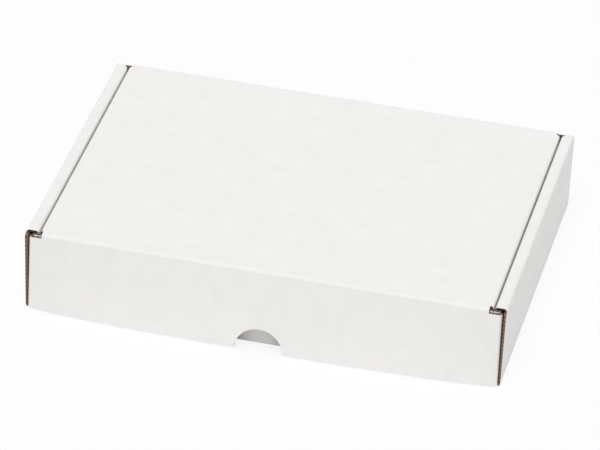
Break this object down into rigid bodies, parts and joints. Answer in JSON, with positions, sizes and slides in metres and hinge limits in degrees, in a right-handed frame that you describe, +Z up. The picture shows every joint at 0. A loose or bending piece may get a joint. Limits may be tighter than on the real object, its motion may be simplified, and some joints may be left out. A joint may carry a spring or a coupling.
{
  "type": "corrugated mailer box",
  "caption": "Shallow die-cut corrugated mailer box, white outside, with rolled double side walls, a hinged lid and an outside front flap with a thumb notch.",
  "frame": {"origin": "on the underside, at the middle of the base's footprint", "axes": "+X to the box's right, +Y from the front flap to the lid's hinge, +Z up"},
  "size_m": [0.325, 0.235, 0.0585],
  "materials": {
    "tray_board": "matt white-faced corrugated board",
    "lid_board": "matt white-faced corrugated board",
    "flap_board": "matt white-faced corrugated board"
  },
  "bodies": {
    "tray": {"tray": "tray_board"},
    "lid": {"lid": "lid_board"},
    "front_flap": {"front_flap": "flap_board"}
  },
  "joints": [
    {"name": "lid_hinge", "type": "hinge", "parent": "tray", "child": "lid", "pos_m": [0, 0.11291, 0.05791], "axis": [-1, 0, 0], "range_deg": [0, 110]},
    {"name": "front_flap_hinge", "type": "hinge", "parent": "lid", "child": "front_flap", "pos_m": [0, -0.11291, 0.05791], "axis": [-1, 0, 0], "range_deg": [0, 90]}
  ]
}
